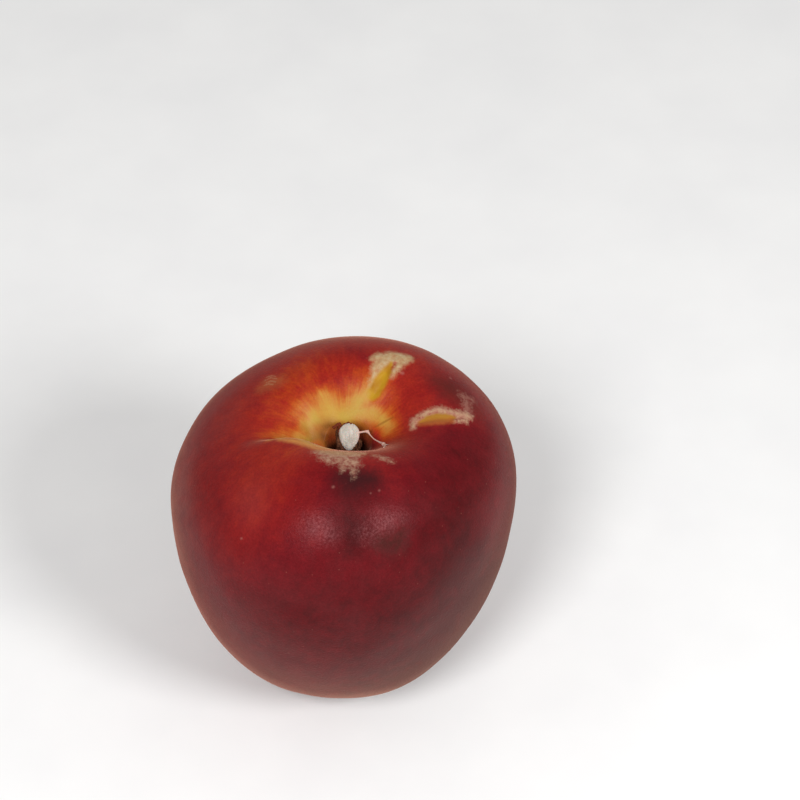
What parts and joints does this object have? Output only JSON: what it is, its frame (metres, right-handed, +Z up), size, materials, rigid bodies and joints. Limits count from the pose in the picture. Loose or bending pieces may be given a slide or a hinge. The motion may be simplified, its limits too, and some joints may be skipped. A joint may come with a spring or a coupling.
{
  "type": "nectarine",
  "caption": "Ripe round nectarine with lobed shoulders, a stem cavity with a side fold, and the broken stub of its stem; it stands on a small flat spot.",
  "frame": {"origin": "the middle of the small flat spot that the nectarine stands on", "axes": "+Z up, from the flat spot towards the stem; -Y is the side that the picture shows, with the fold of the stem cavity at -X"},
  "size_m": [0.0683, 0.0674, 0.0691],
  "materials": {
    "skin": "satin",
    "stem_bark": "matte",
    "pith": "matte"
  },
  "bodies": {
    "root": {"fruit": "skin", "stem_stub": "stem_bark", "stem_torn_end": "pith"}
  },
  "joints": []
}
